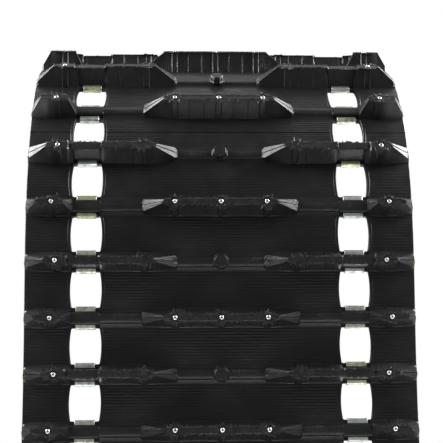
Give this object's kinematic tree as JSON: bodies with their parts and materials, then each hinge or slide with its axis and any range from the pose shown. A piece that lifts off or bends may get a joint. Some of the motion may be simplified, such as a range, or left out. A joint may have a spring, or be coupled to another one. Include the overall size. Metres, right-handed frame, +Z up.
{
  "type": "rubber track",
  "caption": "Endless wide rubber snow vehicle track standing upright: moulded belt with drive windows, studded cleats, stiffener rods and plated guide clips.",
  "frame": {"origin": "on the floor, under the centre of the standing loop", "axes": "+X across the track, +Z up, the front run faces -Y"},
  "size_m": [0.51, 0.774, 1.4981],
  "materials": {
    "rubber": "moulded, semi-matt",
    "fibreglass": "pultruded fibreglass rod",
    "plated_steel": "zinc plated, yellow passivated in places",
    "stud_steel": "turned steel with a hard pin"
  },
  "bodies": {
    "segment_00": {"belt_segment_00": "rubber"},
    "segment_01": {"belt_segment_01": "rubber", "clip_01_centre_left": "plated_steel", "clip_01_centre_right": "plated_steel", "clip_01_long_left": "plated_steel", "clip_01_long_right": "plated_steel", "rod_01_centre": "fibreglass", "rod_01_long": "fibreglass"},
    "segment_02": {"belt_segment_02": "rubber", "clip_02_centre_left": "plated_steel", "clip_02_centre_right": "plated_steel", "clip_02_long_left": "plated_steel", "clip_02_long_right": "plated_steel", "rod_02_centre": "fibreglass", "rod_02_long": "fibreglass"},
    "segment_03": {"belt_segment_03": "rubber", "clip_03_centre_left": "plated_steel", "clip_03_centre_right": "plated_steel", "clip_03_long_left": "plated_steel", "clip_03_long_right": "plated_steel", "rod_03_centre": "fibreglass", "rod_03_long": "fibreglass", "stud_03_centre_0": "stud_steel", "stud_03_centre_1": "stud_steel", "stud_03_centre_2": "stud_steel", "stud_03_long_0": "stud_steel", "stud_03_long_1": "stud_steel", "stud_03_short_0": "stud_steel", "stud_03_short_1": "stud_steel"},
    "segment_04": {"belt_segment_04": "rubber", "clip_04_centre_left": "plated_steel", "clip_04_centre_right": "plated_steel", "clip_04_long_left": "plated_steel", "clip_04_long_right": "plated_steel", "rod_04_centre": "fibreglass", "rod_04_long": "fibreglass"},
    "segment_05": {"belt_segment_05": "rubber"},
    "segment_06": {"belt_segment_06": "rubber"},
    "segment_07": {"belt_segment_07": "rubber"},
    "segment_08": {"belt_segment_08": "rubber"},
    "segment_09": {"belt_segment_09": "rubber"},
    "segment_10": {"belt_segment_10": "rubber"},
    "segment_11": {"belt_segment_11": "rubber"},
    "segment_12": {"belt_segment_12": "rubber"},
    "segment_13": {"belt_segment_13": "rubber"},
    "segment_14": {"belt_segment_14": "rubber"},
    "segment_15": {"belt_segment_15": "rubber"},
    "segment_16": {"belt_segment_16": "rubber"},
    "segment_17": {"belt_segment_17": "rubber"},
    "segment_18": {"belt_segment_18": "rubber"},
    "segment_19": {"belt_segment_19": "rubber"},
    "segment_20": {"belt_segment_20": "rubber"},
    "segment_21": {"belt_segment_21": "rubber"},
    "segment_22": {"belt_segment_22": "rubber"},
    "segment_23": {"belt_segment_23": "rubber"}
  },
  "joints": [
    {"name": "round_out", "type": "hinge", "parent": "segment_12", "child": "segment_11", "pos_m": [0, -0.07164, 0.04027], "axis": [1, 0, 0], "range_deg": [-2, 11.5], "stiffness_Nm_per_rad": 1500},
    {"name": "flex_10", "type": "hinge", "parent": "segment_11", "child": "segment_10", "pos_m": [0, -0.18938, 0.12194], "axis": [-1, 0, 0], "range_deg": [-8.42, 1.47], "stiffness_Nm_per_rad": 1500},
    {"name": "flex_09", "type": "hinge", "parent": "segment_10", "child": "segment_09", "pos_m": [0, -0.24922, 0.25319], "axis": [-1, 0, 0], "range_deg": [-3.09, 0.54], "stiffness_Nm_per_rad": 1500},
    {"name": "flex_08", "type": "hinge", "parent": "segment_09", "child": "segment_08", "pos_m": [0, -0.27584, 0.39599], "axis": [-1, 0, 0], "range_deg": [-0.54, 3.09], "stiffness_Nm_per_rad": 1500},
    {"name": "flex_07", "type": "hinge", "parent": "segment_08", "child": "segment_07", "pos_m": [0, -0.31196, 0.53662], "axis": [-1, 0, 0], "range_deg": [-1.47, 8.42], "stiffness_Nm_per_rad": 1500},
    {"name": "flex_06", "type": "hinge", "parent": "segment_07", "child": "segment_06", "pos_m": [0, -0.34989, 0.67675], "axis": [-1, 0, 0], "range_deg": [-2.01, 11.51], "stiffness_Nm_per_rad": 1500},
    {"name": "flex_05", "type": "hinge", "parent": "segment_06", "child": "segment_05", "pos_m": [0, -0.34989, 0.82137], "axis": [-1, 0, 0], "range_deg": [-2.01, 11.51], "stiffness_Nm_per_rad": 1500},
    {"name": "flex_04", "type": "hinge", "parent": "segment_05", "child": "segment_04", "pos_m": [0, -0.31196, 0.9615], "axis": [-1, 0, 0], "range_deg": [-1.47, 8.42], "stiffness_Nm_per_rad": 1500},
    {"name": "flex_03", "type": "hinge", "parent": "segment_04", "child": "segment_03", "pos_m": [0, -0.27584, 1.10214], "axis": [-1, 0, 0], "range_deg": [-0.54, 3.09], "stiffness_Nm_per_rad": 1500},
    {"name": "flex_02", "type": "hinge", "parent": "segment_03", "child": "segment_02", "pos_m": [0, -0.24922, 1.24493], "axis": [-1, 0, 0], "range_deg": [-3.09, 0.54], "stiffness_Nm_per_rad": 1500},
    {"name": "flex_01", "type": "hinge", "parent": "segment_02", "child": "segment_01", "pos_m": [0, -0.18938, 1.37619], "axis": [-1, 0, 0], "range_deg": [-8.42, 1.47], "stiffness_Nm_per_rad": 1500},
    {"name": "flex_00", "type": "hinge", "parent": "segment_01", "child": "segment_00", "pos_m": [0, -0.07164, 1.45785], "axis": [-1, 0, 0], "range_deg": [-11.51, 2.01], "stiffness_Nm_per_rad": 1500},
    {"name": "flex_23", "type": "hinge", "parent": "segment_00", "child": "segment_23", "pos_m": [0, 0.07164, 1.45785], "axis": [-1, 0, 0], "range_deg": [-11.51, 2.01], "stiffness_Nm_per_rad": 1500},
    {"name": "flex_22", "type": "hinge", "parent": "segment_23", "child": "segment_22", "pos_m": [0, 0.18938, 1.37619], "axis": [-1, 0, 0], "range_deg": [-8.42, 1.47], "stiffness_Nm_per_rad": 1100},
    {"name": "flex_13", "type": "hinge", "parent": "segment_12", "child": "segment_13", "pos_m": [0, 0.07164, 0.04027], "axis": [1, 0, 0], "range_deg": [-11.51, 2.01], "stiffness_Nm_per_rad": 1500},
    {"name": "flex_14", "type": "hinge", "parent": "segment_13", "child": "segment_14", "pos_m": [0, 0.18938, 0.12194], "axis": [1, 0, 0], "range_deg": [-8.42, 1.47], "stiffness_Nm_per_rad": 1500},
    {"name": "flex_15", "type": "hinge", "parent": "segment_14", "child": "segment_15", "pos_m": [0, 0.24922, 0.25319], "axis": [1, 0, 0], "range_deg": [-3.09, 0.54], "stiffness_Nm_per_rad": 1500},
    {"name": "flex_16", "type": "hinge", "parent": "segment_15", "child": "segment_16", "pos_m": [0, 0.27584, 0.39599], "axis": [1, 0, 0], "range_deg": [-0.54, 3.09], "stiffness_Nm_per_rad": 1500},
    {"name": "flex_17", "type": "hinge", "parent": "segment_16", "child": "segment_17", "pos_m": [0, 0.31196, 0.53662], "axis": [1, 0, 0], "range_deg": [-1.47, 8.42], "stiffness_Nm_per_rad": 1500},
    {"name": "flex_18", "type": "hinge", "parent": "segment_17", "child": "segment_18", "pos_m": [0, 0.34989, 0.67675], "axis": [1, 0, 0], "range_deg": [-2.01, 11.51], "stiffness_Nm_per_rad": 1500},
    {"name": "flex_19", "type": "hinge", "parent": "segment_18", "child": "segment_19", "pos_m": [0, 0.34989, 0.82137], "axis": [1, 0, 0], "range_deg": [-2.01, 11.51], "stiffness_Nm_per_rad": 1500},
    {"name": "flex_20", "type": "hinge", "parent": "segment_19", "child": "segment_20", "pos_m": [0, 0.31196, 0.9615], "axis": [1, 0, 0], "range_deg": [-1.47, 8.42], "stiffness_Nm_per_rad": 1500},
    {"name": "flex_21", "type": "hinge", "parent": "segment_20", "child": "segment_21", "pos_m": [0, 0.27584, 1.10214], "axis": [1, 0, 0], "range_deg": [-0.54, 3.09], "stiffness_Nm_per_rad": 1100}
  ],
  "couplings": [
    {"joint": "flex_10", "follows": "round_out", "ratio": -0.73205},
    {"joint": "flex_09", "follows": "round_out", "ratio": -0.26795},
    {"joint": "flex_08", "follows": "round_out", "ratio": 0.26795},
    {"joint": "flex_07", "follows": "round_out", "ratio": 0.73205},
    {"joint": "flex_06", "follows": "round_out", "ratio": 1},
    {"joint": "flex_05", "follows": "round_out", "ratio": 1},
    {"joint": "flex_04", "follows": "round_out", "ratio": 0.73205},
    {"joint": "flex_03", "follows": "round_out", "ratio": 0.26795},
    {"joint": "flex_02", "follows": "round_out", "ratio": -0.26795},
    {"joint": "flex_01", "follows": "round_out", "ratio": -0.73205},
    {"joint": "flex_00", "follows": "round_out", "ratio": -1},
    {"joint": "flex_23", "follows": "round_out", "ratio": -1},
    {"joint": "flex_22", "follows": "round_out", "ratio": -0.73205},
    {"joint": "flex_13", "follows": "round_out", "ratio": -1},
    {"joint": "flex_14", "follows": "round_out", "ratio": -0.73205},
    {"joint": "flex_15", "follows": "round_out", "ratio": -0.26795},
    {"joint": "flex_16", "follows": "round_out", "ratio": 0.26795},
    {"joint": "flex_17", "follows": "round_out", "ratio": 0.73205},
    {"joint": "flex_18", "follows": "round_out", "ratio": 1},
    {"joint": "flex_19", "follows": "round_out", "ratio": 1},
    {"joint": "flex_20", "follows": "round_out", "ratio": 0.73205},
    {"joint": "flex_21", "follows": "round_out", "ratio": 0.26795}
  ]
}
